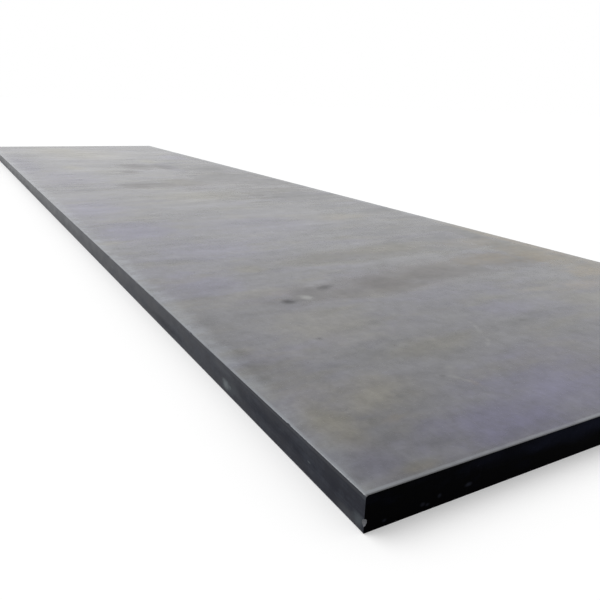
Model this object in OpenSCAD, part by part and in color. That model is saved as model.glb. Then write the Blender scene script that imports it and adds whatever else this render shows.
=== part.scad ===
// Heavy hot-rolled steel plate, one piece of stock.
// X runs along the length, Y across the width and Z up. The plate lies flat on Z = 0,
// with the middle of its underside at the origin.

/* [Plate] */
// Length of the plate, along the rolling direction
plate_length = 6000; // [2000:100:12000]
// Width of the plate
plate_width = 1500; // [900:50:3000]
// Thickness of the plate
plate_thickness = 60; // [30:5:150]

/* [Long edges] */
// Radius of the rolled arris along the top of each long side
top_edge_radius = 4; // [1:0.5:8]
// Radius of the arris along the bottom of each long side
bottom_edge_radius = 2.5; // [1:0.5:6]

/* [Cut ends] */
// Radius of the arris along the top of each cut end
end_top_radius = 1.5; // [0.5:0.5:4]
// Radius of the arris along the bottom of each cut end
end_bottom_radius = 1; // [0.5:0.5:4]

/* [Corner nick] */
// Height of the nick along the upright corner edge
nick_height = 13; // [6:1:16]
// Width of the nick on each of the two faces that meet at the corner
nick_width = 5; // [2:0.5:8]
// Height of the middle of the nick above the underside
nick_level = 18; // [10:1:22]

/* [Hidden] */
$fn = 64;

mill_scale_grey = [0.42, 0.42, 0.44];

// The nick is a bite from a ball. The ball cuts the corner edge over nick_height and each face
// over nick_width, which sets how far its centre stands outside the corner along each axis.
nick_offset = (pow(nick_height / 2, 2) - pow(nick_width, 2)) / (2 * nick_width);
nick_radius = sqrt(2 * pow(nick_offset, 2) + pow(nick_height / 2, 2));

// One corner's waste between a square corner and an arc of radius r. The corner is at the origin
// and the material lies towards +X and +Y.
module arris_waste(r) {
    difference() {
        square(r);
        translate([r, r]) circle(r);
    }
}

// Outline that stands on the X axis, with its upper and lower corners rounded.
module rounded_outline(across, high, r_top, r_bottom) {
    difference() {
        translate([-across / 2, 0]) square([across, high]);
        for (side = [0, 1]) mirror([side, 0]) {
            translate([-across / 2, 0]) arris_waste(r_bottom);
            translate([-across / 2, high]) mirror([0, 1]) arris_waste(r_top);
        }
    }
}

// The rolled strip: the plate's section across its width, run along the length.
module rolled_strip() {
    rotate([90, 0, 90])
        linear_extrude(plate_length, center = true)
            rounded_outline(plate_width, plate_thickness, top_edge_radius, bottom_edge_radius);
}

// The end cuts: the plate's outline seen from a long side, run across the width.
module end_cuts() {
    rotate([90, 0, 0])
        linear_extrude(plate_width, center = true)
            rounded_outline(plate_length, plate_thickness, end_top_radius, end_bottom_radius);
}

// A knock on the upright edge of the corner at -X, +Y.
module corner_nick() {
    translate([-plate_length / 2 - nick_offset, plate_width / 2 + nick_offset, nick_level])
        sphere(nick_radius);
}

module plate() {
    color(mill_scale_grey)
        difference() {
            intersection() {
                rolled_strip();
                end_cuts();
            }
            corner_nick();
        }
}

plate();
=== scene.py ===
"""Looks of a heavy hot-rolled steel plate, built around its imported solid.

One piece of stock lies flat on the floor. Its broad faces carry mill scale, its long sides are
dark rolled steel and its ends are torch-cut. All sizes are in metres, in the frame of the solid:
X along the length, Y across the width, Z up from the underside.
"""
import logging
import math
from dataclasses import dataclass
from enum import Enum
from functools import reduce
from typing import Iterable, Mapping, Sequence, Union

import bmesh
import bpy
import numpy as np
from mathutils import Matrix, Vector


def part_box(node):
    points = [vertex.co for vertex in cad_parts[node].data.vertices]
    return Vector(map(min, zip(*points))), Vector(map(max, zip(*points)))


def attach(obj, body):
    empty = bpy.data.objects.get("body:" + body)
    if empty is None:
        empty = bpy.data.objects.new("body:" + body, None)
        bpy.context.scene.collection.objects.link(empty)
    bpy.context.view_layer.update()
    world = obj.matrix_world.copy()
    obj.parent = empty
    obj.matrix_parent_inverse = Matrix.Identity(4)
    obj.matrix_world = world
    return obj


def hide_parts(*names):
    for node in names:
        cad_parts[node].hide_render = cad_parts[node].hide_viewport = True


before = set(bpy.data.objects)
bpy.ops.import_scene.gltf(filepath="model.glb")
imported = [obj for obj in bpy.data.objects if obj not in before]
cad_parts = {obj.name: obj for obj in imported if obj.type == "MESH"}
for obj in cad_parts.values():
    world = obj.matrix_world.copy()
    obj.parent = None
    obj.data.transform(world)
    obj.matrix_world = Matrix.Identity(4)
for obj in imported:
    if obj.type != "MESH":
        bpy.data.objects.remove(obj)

LOG = logging.getLogger("steel_plate")
MM = 0.001
PLATE_NODE = "plate"
ROOT_BODY = "root"

Colour = tuple[float, float, float]
Point2 = tuple[float, float]
Point3 = tuple[float, float, float]
# Where a smooth step starts and ends, and its height where that isn't 1.
Ramp = tuple[float, ...]


class Wire:
    """One output socket of a node, with arithmetic that adds Math nodes to its tree."""

    def __init__(self, board: "NodeBoard", socket: bpy.types.NodeSocket) -> None:
        """Keep the socket and the board that it belongs to."""
        self.board = board
        self.socket = socket

    def maths(self, operation: str, *others: "Feed") -> "Wire":
        """Add a Math node for an operation on this value and others."""
        return self.board.maths(operation, self, *others)

    def __add__(self, other: "Feed") -> "Wire":
        """This value plus another."""
        return self.maths("ADD", other)

    def __radd__(self, other: "Feed") -> "Wire":
        """Another value plus this one."""
        return self.board.maths("ADD", other, self)

    def __sub__(self, other: "Feed") -> "Wire":
        """This value less another."""
        return self.maths("SUBTRACT", other)

    def __rsub__(self, other: "Feed") -> "Wire":
        """Another value less this one."""
        return self.board.maths("SUBTRACT", other, self)

    def __mul__(self, other: "Feed") -> "Wire":
        """This value times another."""
        return self.maths("MULTIPLY", other)

    def __rmul__(self, other: "Feed") -> "Wire":
        """Another value times this one."""
        return self.board.maths("MULTIPLY", other, self)

    def __truediv__(self, other: "Feed") -> "Wire":
        """This value over another."""
        return self.maths("DIVIDE", other)

    def __rtruediv__(self, other: "Feed") -> "Wire":
        """Another value over this one."""
        return self.board.maths("DIVIDE", other, self)

    def __neg__(self) -> "Wire":
        """This value with its sign turned."""
        return self.maths("MULTIPLY", -1.0)

    def __abs__(self) -> "Wire":
        """This value without its sign."""
        return self.maths("ABSOLUTE")

    def __gt__(self, other: "Feed") -> "Wire":
        """1 where this value is greater than another, else 0."""
        return self.maths("GREATER_THAN", other)

    def __lt__(self, other: "Feed") -> "Wire":
        """1 where this value is less than another, else 0."""
        return self.maths("LESS_THAN", other)


Feed = Union[Wire, float, int, bool, str, Sequence[float], bpy.types.ID]
Sockets = Mapping[Union[str, int], Feed]


@dataclass(frozen=True)
class Speckle:
    """A noise pattern.

    Attributes:
        size: Rough size of a blot along X, Y and Z.
        seed: A shift that picks another stretch of the noise.
        detail: How many finer layers it has.
        rough: How strong the finer layers are.
        turn: Turn of the pattern about Z, in degrees.
    """

    size: Point3
    seed: float
    detail: float = 3.0
    rough: float = 0.6
    turn: float = 0.0


class NodeBoard:
    """A node tree that is filled in by expressions, for shaders and for geometry alike.

    Attributes:
        mix_share, mix_under, mix_over, mix_result: Numbers of the Mix node's sockets for colours.
        even_range: What spreads noise evenly.
    """

    mix_share, mix_under, mix_over, mix_result = 0, 6, 7, 2
    even_range = {"From Min": 0.34, "From Max": 0.66, "To Min": -1.0, "To Max": 1.0}

    def __init__(self, tree: bpy.types.NodeTree) -> None:
        """Start on a tree, with its default nodes removed."""
        self.tree = tree
        self.tree.nodes.clear()

    def place(
        self, kind: str, settings: Mapping[str, object] | None = None, inputs: Sockets | None = None
    ) -> bpy.types.Node:
        """Add a node, set it up, then fill its sockets.

        Args:
            kind: The node's type, such as ShaderNodeTexNoise.
            settings: Properties of the node.
            inputs: Values or wires by the socket's name or number.

        Returns:
            The node.
        """
        node = self.tree.nodes.new(kind)
        for name, value in (settings or {}).items():
            setattr(node, name, value)
        for key, value in (inputs or {}).items():
            if isinstance(value, Wire):
                self.tree.links.new(value.socket, node.inputs[key])
            else:
                node.inputs[key].default_value = value
        return node

    def add(
        self,
        kind: str,
        settings: Mapping[str, object] | None = None,
        inputs: Sockets | None = None,
        output: Union[str, int] = 0,
    ) -> Wire:
        """Add a node and take one of its outputs, by name or number."""
        return Wire(self, self.place(kind, settings, inputs).outputs[output])

    def maths(self, operation: str, *values: Feed) -> Wire:
        """Add a Math node for an operation on values or wires."""
        return self.add("ShaderNodeMath", {"operation": operation}, dict(enumerate(values)))

    def vector_maths(self, operation: str, inputs: Sockets, output: Union[str, int] = 0) -> Wire:
        """Add a Vector Math node for an operation on vectors or colours."""
        return self.add("ShaderNodeVectorMath", {"operation": operation}, inputs, output)

    def split(self, vector: Wire) -> tuple[Wire, ...]:
        """The X, Y and Z of a vector."""
        node = self.place("ShaderNodeSeparateXYZ", inputs={0: vector})
        return tuple(Wire(self, output) for output in node.outputs)

    def join(self, x: Feed, y: Feed, z: Feed) -> Wire:
        """A vector of three values."""
        return self.add("ShaderNodeCombineXYZ", inputs={0: x, 1: y, 2: z})

    def step(self, value: Feed, start: float, end: float, height: float = 1.0) -> Wire:
        """A smooth step up from 0 at start to its height at end, which may lie below start.

        Args:
            value: The value that runs through the step.
            start: Where the step begins.
            end: Where the step is complete.
            height: What it reaches.

        Returns:
            The step, from 0 to its height.
        """
        (low, foot), (high, top) = sorted(((start, 0.0), (end, height)))
        inputs = {"Value": value, "From Min": low, "From Max": high, "To Min": foot, "To Max": top}
        return self.add("ShaderNodeMapRange", {"interpolation_type": "SMOOTHSTEP"}, inputs)

    def noise(self, coords: Wire, speckle: Speckle, base: Wire | None = None) -> Wire:
        """Noise whose blots have a set size along each axis.

        Args:
            coords: The coordinates that it follows.
            speckle: The pattern.
            base: A seed that the pattern's own is added to.

        Returns:
            The noise, from 0 to 1.
        """
        if speckle.turn:
            inputs = {"Vector": coords, "Angle": -math.radians(speckle.turn)}
            coords = self.add("ShaderNodeVectorRotate", {"rotation_type": "Z_AXIS"}, inputs)
        scale = [1.0 / length for length in speckle.size]
        inputs = {
            "Vector": self.vector_maths("MULTIPLY", {0: coords, 1: scale}),
            "W": speckle.seed if base is None else base + speckle.seed,
            "Scale": 1.0,
            "Detail": speckle.detail,
            "Roughness": speckle.rough,
        }
        return self.add("ShaderNodeTexNoise", {"noise_dimensions": "4D"}, inputs)

    def even_noise(self, coords: Wire, speckle: Speckle) -> Wire:
        """Noise spread evenly from -1 to 1."""
        inputs = {"Value": self.noise(coords, speckle), **self.even_range}
        return self.add("ShaderNodeMapRange", inputs=inputs)

    def mix_colour(self, share: Feed, first: Feed, second: Feed) -> Wire:
        """Mix two colours.

        Args:
            share: How much of the second shows, from 0 to 1.
            first: The colour, or wire, under it.
            second: The colour, or wire, over it.

        Returns:
            The mixed colour.
        """
        settings = {"data_type": "RGBA", "blend_type": "MIX", "clamp_factor": True}
        colours = {self.mix_under: self._colour(first), self.mix_over: self._colour(second)}
        return self.add("ShaderNodeMix", settings, {self.mix_share: share, **colours}, self.mix_result)

    @staticmethod
    def _colour(value: Feed) -> Feed:
        """A plain colour with its alpha, or a wire as it is."""
        return value if isinstance(value, Wire) else (*value, 1.0)

    def scale_colour(self, colour: Wire, factor: Wire) -> Wire:
        """A colour times a value."""
        return self.vector_maths("SCALE", {0: colour, "Scale": factor})

    def bump(self, height: Wire, distance: float, strength: float = 0.5) -> Wire:
        """The normal of a surface with fine relief, a set distance high."""
        inputs = {"Strength": strength, "Distance": distance, "Height": height}
        return self.add("ShaderNodeBump", inputs=inputs)


def together(masks: Iterable[Wire]) -> Wire:
    """The strongest of several masks at each point."""
    return reduce(lambda under, over: under.maths("MAXIMUM", over), masks)


def weighted(start: float, layers: Mapping[str, Wire], weights: Mapping[str, float]) -> Wire:
    """Add up layers by their weights.

    Args:
        start: The value without any layer.
        layers: The layers by name.
        weights: How much each layer counts.

    Returns:
        The sum.
    """
    total = start
    for name, weight in weights.items():
        total = layers[name] * weight + total
    return total


class Face(Enum):
    """The outer faces of the plate that carry marks."""

    TOP = "top"
    UNDERSIDE = "underside"
    NICKED_SIDE = "nicked side"
    PLAIN_SIDE = "plain side"
    NICKED_END = "nicked end"


@dataclass(frozen=True)
class PlateShape:
    """Sizes of the plate that its mesh and its finishes share.

    Attributes:
        length, width, thickness: Overall sizes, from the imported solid.
        side_top_radius, side_bottom_radius: Arrises along the long sides.
        end_top_radius, end_bottom_radius: Arrises along the cut ends.
        nick_height, nick_width: Size of the corner nick, up the edge and on each face.
        nick_level: Height of the nick's middle.
    """

    length: float
    width: float
    thickness: float
    side_top_radius: float = 4.0 * MM
    side_bottom_radius: float = 2.5 * MM
    end_top_radius: float = 1.5 * MM
    end_bottom_radius: float = 1.0 * MM
    nick_height: float = 13.0 * MM
    nick_width: float = 5.0 * MM
    nick_level: float = 18.0 * MM

    @property
    def nick_offset(self) -> float:
        """How far the nick's ball stands outside the corner along X and along Y."""
        return ((self.nick_height / 2) ** 2 - self.nick_width**2) / (2 * self.nick_width)

    @property
    def nick_radius(self) -> float:
        """Radius of the nick's ball."""
        return math.sqrt(2 * self.nick_offset**2 + (self.nick_height / 2) ** 2)

    @property
    def nick_centre(self) -> Point3:
        """Middle of the nick's ball."""
        return (-self.length / 2 - self.nick_offset, self.width / 2 + self.nick_offset, self.nick_level)


@dataclass(frozen=True)
class Mark:
    """A stain, smudge, scuff or speck with a soft outline, on one face of the plate.

    Attributes:
        centre: Its middle on its face: X and Y, X and Z on a side, Y and Z on an end.
        reach: Half its size along the same two axes.
        strength: How much of its colour shows in the middle.
        ragged: How far noise pushes its outline, as a share of its size.
        turn: Turn about Z, in degrees.
        face: The face that it lies on.
        depth: How far it reaches into the plate, past that face.
    """

    centre: Point2
    reach: Point2
    strength: float
    ragged: float = 0.6
    turn: float = 0.0
    face: Face = Face.TOP
    depth: float = 25.0 * MM

    def on_plate(self, shape: PlateShape) -> tuple[Point3, Point3]:
        """Its middle and its reach along the plate's X, Y and Z.

        Args:
            shape: The plate's sizes.

        Returns:
            The middle and the reach.
        """
        (a, b), (reach_a, reach_b) = self.centre, self.reach
        return {
            Face.TOP: ((a, b, shape.thickness), (reach_a, reach_b, self.depth)),
            Face.UNDERSIDE: ((a, b, 0.0), (reach_a, reach_b, self.depth)),
            Face.NICKED_SIDE: ((a, shape.width / 2, b), (reach_a, self.depth, reach_b)),
            Face.PLAIN_SIDE: ((a, -shape.width / 2, b), (reach_a, self.depth, reach_b)),
            Face.NICKED_END: ((-shape.length / 2, a, b), (self.depth, reach_a, reach_b)),
        }[self.face]


def marks(rows: Iterable[Sequence[float]], face: Face = Face.TOP) -> tuple[Mark, ...]:
    """Marks from rows of a middle, a reach, a strength and, where they differ, raggedness and turn."""
    return tuple(Mark(row[:2], row[2:4], *row[4:], face=face) for row in rows)


@dataclass(frozen=True)
class Scratch:
    """A fine line scored into the top face, from start to end. It tapers at both.

    Attributes:
        strength: How much of its colour shows in the middle.
        width: Half its width.
        taper: Half the length of its mark, as a share of the line's length.
    """

    start: Point2
    end: Point2
    strength: float
    width: float = 1.6 * MM
    taper: float = 0.62

    def mark(self) -> Mark:
        """The scratch as a slim mark.

        Returns:
            The mark.
        """
        (x, y), (end_x, end_y) = self.start, self.end
        reach = (math.hypot(end_x - x, end_y - y) * self.taper, self.width)
        turn = math.degrees(math.atan2(end_y - y, end_x - x))
        return Mark(((x + end_x) / 2, (y + end_y) / 2), reach, self.strength, turn=turn)


class MarkStencil:
    """A node group that lays one mark over others. All finishes share it."""

    title = "mark_stencil"
    outline: Ramp = (1.1, 0.1)
    inputs = {
        "Place": "NodeSocketVector",
        "Centre": "NodeSocketVector",
        "Scale": "NodeSocketVector",
        "Turn": "NodeSocketFloat",
        "Rough": "NodeSocketFloat",
        "Ragged": "NodeSocketFloat",
        "Strength": "NodeSocketFloat",
        "Under": "NodeSocketFloat",
    }

    def tree(self) -> bpy.types.NodeTree:
        """The group, made the first time that it is asked for."""
        return bpy.data.node_groups.get(self.title) or self._build()

    def _build(self) -> bpy.types.NodeTree:
        """Make the group: how far a point lies out of the mark, and the share that this gives.

        Returns:
            The group's node tree.
        """
        tree = bpy.data.node_groups.new(self.title, "ShaderNodeTree")
        tree.interface.new_socket("Share", in_out="OUTPUT", socket_type="NodeSocketFloat")
        for name, kind in self.inputs.items():
            tree.interface.new_socket(name, in_out="INPUT", socket_type=kind)
        board = NodeBoard(tree)
        source = board.place("NodeGroupInput")
        wires = {name: Wire(board, source.outputs[name]) for name in self.inputs}
        turned = board.add(
            "ShaderNodeVectorRotate",
            {"rotation_type": "Z_AXIS"},
            {"Vector": wires["Place"], "Center": wires["Centre"], "Angle": wires["Turn"]},
        )
        offset = board.vector_maths("SUBTRACT", {0: turned, 1: wires["Centre"]})
        offset = board.vector_maths("MULTIPLY", {0: offset, 1: wires["Scale"]})
        distance = board.vector_maths("LENGTH", {0: offset}, "Value")
        distance = wires["Rough"].maths("MULTIPLY_ADD", wires["Ragged"], distance)
        share = board.step(distance, *self.outline) * wires["Strength"]
        board.place("NodeGroupOutput", inputs={"Share": share.maths("MAXIMUM", wires["Under"])})
        return tree


@dataclass(frozen=True)
class MarkKit:
    """What a finish draws marks with.

    Attributes:
        board: The material's node board.
        coords: Object coordinates.
        fine, coarse: Noise about 0 that roughens the outlines of small marks, and of the rest.
        shape: The plate's sizes.
        small: Reach below which a mark counts as small.
    """

    board: NodeBoard
    coords: Wire
    fine: Wire
    coarse: Wire
    shape: PlateShape
    small: float = 40.0 * MM

    def share(self, chosen: Iterable[Mark]) -> Wire:
        """Lay several marks over each other. The strongest counts at each point.

        Args:
            chosen: The marks.

        Returns:
            Their share, from 0 to 1.
        """
        group, result = MarkStencil().tree(), 0.0
        for mark in chosen:
            centre, reach = mark.on_plate(self.shape)
            inputs = {
                "Place": self.coords,
                "Centre": centre,
                "Scale": [1.0 / length for length in reach],
                "Turn": -math.radians(mark.turn),
                "Rough": self.fine if min(mark.reach) < self.small else self.coarse,
                "Ragged": mark.ragged,
                "Strength": mark.strength,
                "Under": result,
            }
            result = self.board.add("ShaderNodeGroup", {"node_tree": group}, inputs)
        return result


class Finish:
    """A procedural surface: a material whose nodes are filled in by its subclass."""

    title = "finish"
    ragged_spread = 2.4

    def material(self) -> bpy.types.Material:
        """Make the material.

        Returns:
            The material, with its Principled shader linked to the output.
        """
        material = bpy.data.materials.new(self.title)
        material.use_nodes = True
        board = NodeBoard(material.node_tree)
        coords = board.add("ShaderNodeTexCoord", output="Object")
        shader = board.place("ShaderNodeBsdfPrincipled", inputs=self.surface(board, coords))
        board.place("ShaderNodeOutputMaterial", inputs={"Surface": Wire(board, shader.outputs[0])})
        return material

    def surface(self, board: NodeBoard, coords: Wire) -> dict[str, Feed]:
        """The Principled shader's inputs. Each finish gives its own."""
        raise NotImplementedError

    def _spread(self, noise: Wire) -> Wire:
        """Noise about 0, wide enough to roughen the outline of a mark."""
        return (noise - 0.5) * self.ragged_spread


# Turn of the streaks from straight across the plate, in degrees.
STREAK_TURN = 2.0

VIOLET_PATCHES = marks([
    (-2.92, 0.42, 0.09, 0.24, 0.85, 0.5),
    (-2.88, 0.18, 0.17, 0.34, 0.88, 0.5, 6),
    (-2.95, 0.4, 0.07, 0.2, 1, 0.5),
    (-2.76, 0.12, 0.08, 0.22, 0.6, 0.6, 4),
    (-2.94, 0.7, 0.07, 0.07, 0.4),
    (-2.5, -0.05, 0.08, 0.16, 0.55),
    (-2.36, -0.2, 0.1, 0.22, 0.4),
    (-1.62, 0.42, 0.26, 0.36, 0.6),
    (-1.97, 0.6, 0.22, 0.2, 0.6),
    (-1.22, 0.56, 0.34, 0.26, 1),
    (-0.68, 0.6, 0.42, 0.24, 0.9),
    (0.4, 0.52, 0.65, 0.28, 0.8),
    (-1.25, 0.05, 0.3, 0.45, 0.55, 0.6, 4),
    (0.95, -0.28, 0.45, 0.1, 0.8),
    (1.65, -0.56, 0.35, 0.18, 0.8),
    (1.3, 0.66, 1.2, 0.14, 0.8),
]) + marks([
    (-1.9, -0.3, 0.4, 0.3, 0.8),
    (0.6, 0.35, 0.5, 0.26, 0.75, 0.6, 4),
    (2.3, -0.2, 0.35, 0.4, 0.7),
], Face.UNDERSIDE)
KHAKI_PATCHES = marks([
    (-2.755, 0.57, 0.095, 0.15, 0.75, 0.5, 10),
    (-2.8, 0.695, 0.13, 0.08, 0.85, 0.5),
    (-2.975, 0.64, 0.02, 0.06, 0.5, 0.5),
    (-2.62, 0.3, 0.07, 0.2, 0.6, 0.6, 4),
    (-2.43, 0.44, 0.2, 0.2, 0.5),
    (-1.9, 0.4, 0.06, 0.08, 0.75),
    (-1.87, 0.12, 0.1, 0.28, 0.6, 0.5),
    (-1.845, -0.17, 0.12, 0.34, 0.95, 0.5),
    (-2.1, -0.64, 0.38, 0.15, 0.95, 0.5),
    (-1.75, -0.72, 0.3, 0.06, 0.7, 0.5),
    (-0.45, -0.02, 0.24, 0.4, 0.95),
    (0.1, -0.08, 0.3, 0.16, 0.9),
    (-1.22, -0.35, 0.14, 0.26, 0.6),
    (1.05, 0.38, 0.24, 0.1, 1),
    (1.4, -0.26, 0.24, 0.09, 1),
    (2.1, 0.1, 0.75, 0.45, 0.95),
    (2.45, 0.25, 0.7, 0.35, 1, 0.5),
]) + marks([
    (-0.8, 0.2, 0.22, 0.45, 0.85),
    (1.6, -0.25, 0.18, 0.38, 0.8, 0.6, 3),
], Face.UNDERSIDE)
TAN_PATCHES = marks([
    (-2.44, -0.44, 0.06, 0.15, 0.6),
    (-2.35, -0.62, 0.12, 0.15, 0.8, 0.7),
    (-2.12, -0.62, 0.18, 0.15, 0.7, 0.8),
    (-2.42, -0.27, 0.022, 0.09, 0.25, 0.7),
    (-2.09, -0.42, 0.09, 0.22, 0.55, 0.9),
    (-1.88, -0.55, 0.1, 0.16, 0.42, 0.9),
    (-1.95, -0.728, 0.62, 0.042, 0.85, 0.5),
    (-2.155, 0.44, 0.026, 0.05, 0.22, 0.8),
    (-2.205, 0.463, 0.014, 0.024, 0.24, 0.8),
    (-2.805, 0.359, 0.022, 0.012, 0.24),
    (-2.847, 0.582, 0.018, 0.034, 0.22, 0.6, 20),
    (-2.982, 0.64, 0.012, 0.04, 0.14),
    (-1.24, -0.38, 0.08, 0.16, 0.35, 0.8),
]) + marks([
    (-1.35, 0.5, 0.1, 0.18, 0.55, 0.8),
    (1.1, -0.55, 0.2, 0.12, 0.5, 0.8),
], Face.UNDERSIDE)
DARK_STAINS = marks([
    (-2.229, 0.447, 0.042, 0.04, 0.88, 0.5, -32),
    (-2.224, 0.452, 0.06, 0.066, 0.42, 0.7, -28),
    (-2.235, 0.412, 0.026, 0.05, 0.26, 1.2, -24),
    (-2.156, 0.289, 0.03, 0.062, 0.62, 0.55, 26),
    (-2.165, 0.34, 0.026, 0.06, 0.22, 1, 10),
    (-2.161, 0.374, 0.01, 0.014, 0.25, 0.8),
    (-2.486, 0.508, 0.01, 0.011, 0.5),
    (-2.593, -0.013, 0.011, 0.017, 0.35),
    (-2.755, 0.393, 0.008, 0.009, 0.4),
    (-2.953, 0.724, 0.032, 0.024, 0.3, 0.8),
    (-2.806, 0.655, 0.022, 0.03, 0.16, 0.8),
    (-2.972, 0.37, 0.022, 0.13, 0.2, 0.8),
    (-2.785, 0.646, 0.015, 0.012, 0.16),
    (-2.832, 0.62, 0.017, 0.018, 0.22),
    (-2.718, 0.473, 0.015, 0.016, 0.14),
    (-2.637, -0.022, 0.05, 0.014, 0.14, 0.6, 24),
])
TARNISH_BANDS = marks([
    (-2.18, 0.105, 0.145, 0.23, 1, 0.35),
    (-2.22, 0.24, 0.085, 0.18, 0.75, 0.5),
    (-2.145, -0.11, 0.155, 0.3, 1, 0.4),
    (-2.11, -0.4, 0.145, 0.28, 0.95, 0.5),
    (-2.19, 0.5, 0.055, 0.09, 0.3),
    (-2.19, 0.36, 0.11, 0.14, 0.7),
    (-1.85, 0, 0.115, 0.46, 0.36, 0.5),
    (-1.82, -0.63, 0.06, 0.07, 0.6),
    (-2.04, -0.6, 0.24, 0.09, 0.45),
    (0.03, 0.18, 0.16, 0.18, 1),
    (0.02, 0.05, 0.18, 0.15, 0.9, 0.5),
    (0.98, -0.24, 0.24, 0.14, 0.7, 0.5),
    (1.03, -0.07, 0.26, 0.18, 0.85),
    (0.72, 0.07, 0.14, 0.09, 0.7),
    (0.26, 0.52, 0.25, 0.16, 0.3),
    (0.1, -0.4, 0.9, 0.5, 0.36, 0.5),
    (0.05, -0.12, 0.4, 0.24, 0.6, 0.5),
]) + marks([
    (-2.4, 0.25, 0.14, 0.4, 0.9, 0.5),
    (0.1, -0.3, 0.1, 0.42, 0.85, 0.5, 2),
    (2.75, 0.4, 0.12, 0.3, 0.7, 0.5),
], Face.UNDERSIDE)
DULL_BANDS = marks([
    (-2.53, 0.703, 0.18, 0.032, 1, 0.5, -2),
    (-2.24, 0.68, 0.13, 0.042, 0.85),
    (-2.1, 0.64, 0.05, 0.06, 0.5),
    (-1.73, 0.6, 0.045, 0.14, 0.75),
    (-2.855, 0.605, 0.05, 0.11, 1, 0.45),
    (-2.91, 0.64, 0.03, 0.06, 0.4),
    (-3, 0.45, 0.13, 0.55, 0.34, 0.4),
    (-2.64, 0.06, 0.13, 0.28, 0.3),
    (-1.65, -0.48, 0.55, 0.48, 0.85, 0.5),
    (-0.62, -0.5, 0.6, 0.5, 1, 0.5),
    (0.85, -0.5, 0.8, 0.42, 1, 0.5),
    (1.4, 0.64, 1.1, 0.2, 0.75, 0.5),
    (-1.55, -0.68, 1.1, 0.24, 0.95, 0.5),
    (-2.2, -0.66, 0.48, 0.26, 1, 0.5),
    (-2.5, 0.07, 0.05, 0.06, 0.7),
    (0.6, -0.72, 2.2, 0.12, 0.8, 0.4),
    (-2.83, 0.04, 0.13, 0.14, 0.62),
    (-2.66, -0.08, 0.14, 0.2, 0.58, 0.5),
    (-2.8, 0.2, 0.12, 0.14, 0.42, 0.5),
])
PALE_SPECKS = marks([
    (-2.217, 0.383, 0.025, 0.022, 0.82, 0.7, -24),
    (-2.196, 0.392, 0.012, 0.016, 0.3, 0.8),
    (-2.73, 0.352, 0.014, 0.018, 0.26, 0.7),
    (-2.73, 0.735, 0.09, 0.022, 0.12),
    (-2.422, 0.256, 0.015, 0.017, 0.25),
    (-2.593, 0.37, 0.011, 0.015, 0.22),
])
PALE_CLOUDS = marks([
    (-2.66, 0.52, 0.12, 0.22, 0.9, 0.6, 4),
    (-2.76, 0.6, 0.06, 0.18, 1),
    (-2.48, 0.5, 0.2, 0.22, 1),
    (-2.33, -0.02, 0.11, 0.34, 0.5),
    (-2.88, 0.25, 0.05, 0.12, 0.5),
    (-2.76, 0.705, 0.14, 0.06, 0.9),
    (-1.92, 0.58, 0.18, 0.2, 0.9),
    (-1.63, 0.3, 0.12, 0.45, 0.5, 0.5),
    (-0.55, 0.64, 0.6, 0.14, 0.6),
    (1, 0.3, 0.4, 0.18, 1),
    (1.9, 0.33, 0.5, 0.18, 1, 0.5),
    (-2.8, 0.69, 0.09, 0.08, 1),
    (2.45, 0.22, 0.6, 0.48, 1, 0.5),
    (-2.69, 0.5, 0.06, 0.24, 1, 0.5, 2),
    (-2.6, 0.58, 0.05, 0.1, 0.8, 0.5),
    (-2.04, 0.7, 0.1, 0.08, 0.9, 0.5),
    (2.15, 0.02, 0.8, 0.5, 1),
])
SIDE_SHADES = marks([
    (-2.74, 0.031, 0.28, 0.015, 0.85, 0.5),
    (-2.922, 0.031, 0.024, 0.018, 0.9, 0.5),
    (-2.15, 0.018, 0.22, 0.014, 0.7, 0.5),
], Face.NICKED_SIDE) + marks([
    (-0.4, 0.028, 0.5, 0.016, 0.6, 0.5),
    (-2.3, 0.022, 0.3, 0.014, 0.7, 0.5),
], Face.PLAIN_SIDE)
# Painted light on the long sides: a paler band near the top, painted as a sheen that grows towards the far
# end, and painted light from below at the foot of the nicked corner.
SIDE_PAINTED_LIGHT = marks([
    (0.6, 0.056, 2.9, 0.046, 1, 0.2),
    (-2.96, 0.008, 0.045, 0.012, 0.4, 0.5),
    (-2.5, 0.048, 0.07, 0.016, 0.26),
], Face.NICKED_SIDE) + marks([
    (-1.4, 0.056, 1.6, 0.04, 0.6, 0.2),
], Face.PLAIN_SIDE)
SIDE_SCUFFS = marks([
    (-2.533, 0.019, 0.024, 0.013, 0.75, 0.7),
    (-2.56, 0.024, 0.05, 0.022, 0.14, 0.7),
    (-2.986, 0.016, 0.018, 0.012, 0.3),
    (-2.853, 0.028, 0.007, 0.002, 0.5, 0.3),
    (-1.62, 0.034, 0.03, 0.004, 0.3, 0.5),
    (0.85, 0.022, 0.05, 0.006, 0.3, 0.5),
], Face.NICKED_SIDE) + marks([
    (-0.7, 0.03, 0.04, 0.006, 0.4, 0.5),
    (1.9, 0.018, 0.03, 0.005, 0.4, 0.5),
    (-2.2, 0.036, 0.016, 0.01, 0.45, 0.7),
], Face.PLAIN_SIDE)
END_TEMPER = marks([
    (0.12, 0.05, 0.52, 0.026, 0.85),
], Face.NICKED_END)
END_CHIPS = marks([
    (0.559, 0.019, 0.01, 0.005, 0.6, 0.4),
    (0.647, 0.013, 0.006, 0.0045, 0.45, 0.4),
    (0.616, 0.018, 0.005, 0.0045, 0.4, 0.4),
    (0.638, 0.01, 0.005, 0.0035, 0.4, 0.4),
    (0.715, 0.01, 0.005, 0.0035, 0.4, 0.4),
], Face.NICKED_END)
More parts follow.
